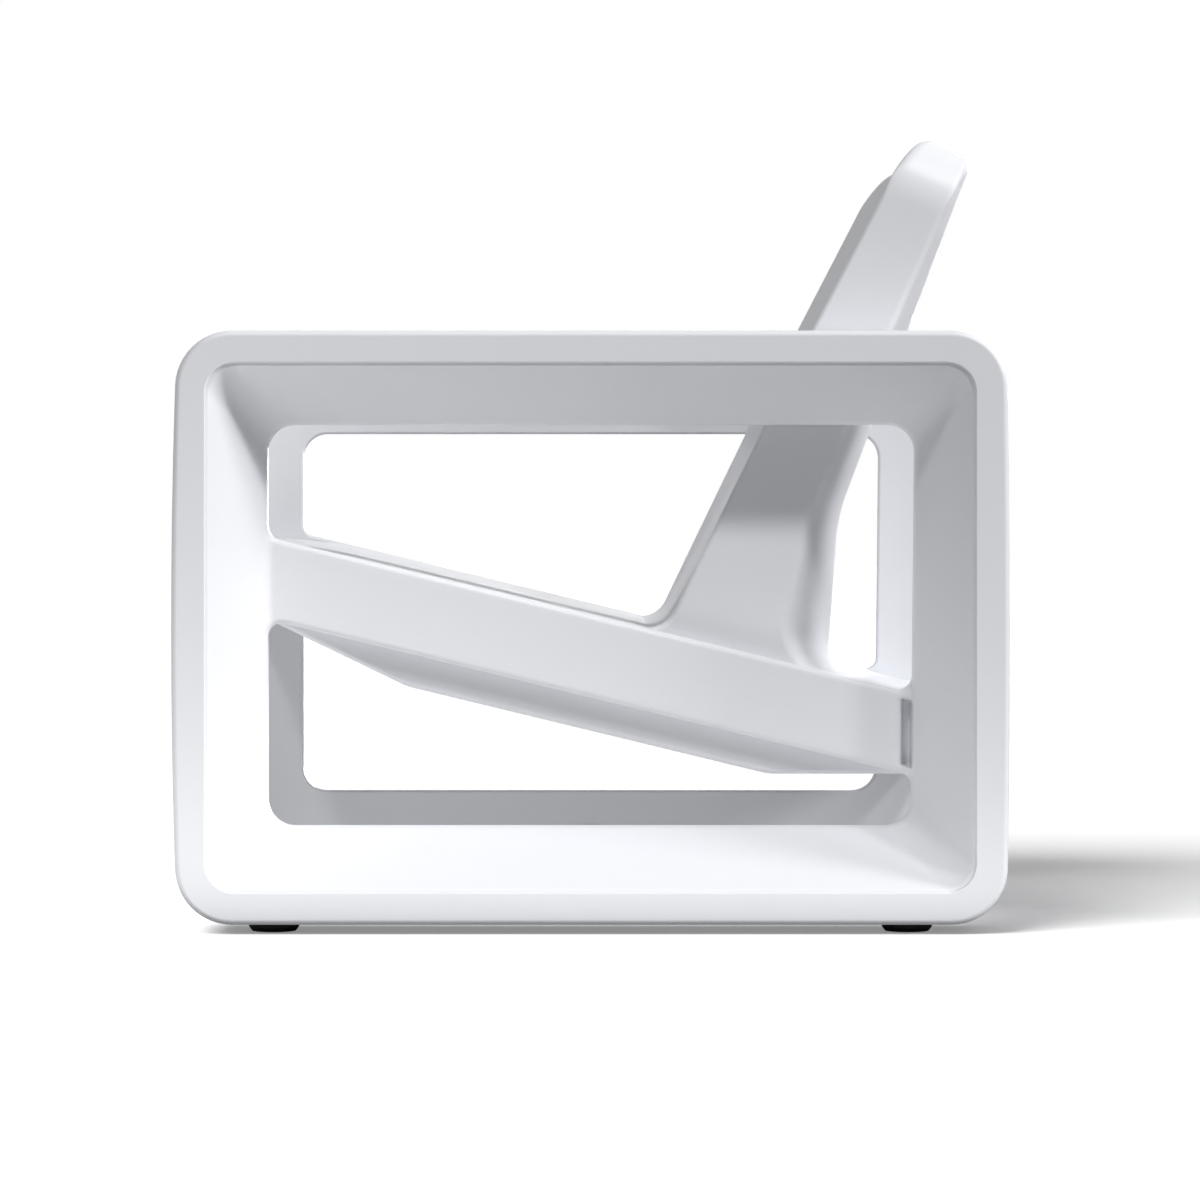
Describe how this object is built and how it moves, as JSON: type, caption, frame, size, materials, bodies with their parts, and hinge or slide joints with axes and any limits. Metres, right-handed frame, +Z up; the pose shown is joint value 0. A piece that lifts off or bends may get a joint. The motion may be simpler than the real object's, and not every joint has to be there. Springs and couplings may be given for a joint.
{
  "type": "outdoor lounge chair",
  "caption": "Low outdoor lounge chair: two closed picture-frame sides in white moulded plastic carry a slanted seat shell with a leaning backrest, on black rubber feet",
  "frame": {"origin": "on the floor under the middle of the chair, which is the bottom centre of its box", "axes": "+X to the rear, +Y to the sitter's right, +Z up; the sitter faces -X"},
  "size_m": [0.84, 0.8, 0.8071],
  "materials": {
    "side_frame_plastic": "white rotationally moulded polyethylene with a fine satin grain",
    "seat_shell_plastic": "white rotationally moulded polyethylene with a fine satin grain",
    "cover_plastic": "white injection moulded polyethylene, satin",
    "foot_rubber": "black moulded rubber, matt",
    "zinc_plated_steel": "bright zinc plating",
    "insert_brass": "turned brass"
  },
  "bodies": {
    "root": {"left_side_frame": "side_frame_plastic", "right_side_frame": "side_frame_plastic", "seat_and_back_shell": "seat_shell_plastic", "front_left_foot": "foot_rubber", "front_right_foot": "foot_rubber", "rear_left_foot": "foot_rubber", "rear_right_foot": "foot_rubber", "foot_studs": "zinc_plated_steel", "foot_inserts": "insert_brass", "left_frame_inserts": "insert_brass", "right_frame_inserts": "insert_brass", "left_frame_bolts": "zinc_plated_steel", "right_frame_bolts": "zinc_plated_steel", "left_bolt_washers": "zinc_plated_steel", "right_bolt_washers": "zinc_plated_steel", "front_left_bolt_cover": "cover_plastic", "middle_left_bolt_cover": "cover_plastic", "rear_left_bolt_cover": "cover_plastic", "front_right_bolt_cover": "cover_plastic", "middle_right_bolt_cover": "cover_plastic", "rear_right_bolt_cover": "cover_plastic", "left_frame_vent_plug": "cover_plastic", "right_frame_vent_plug": "cover_plastic", "seat_shell_vent_plug": "cover_plastic"}
  },
  "joints": []
}
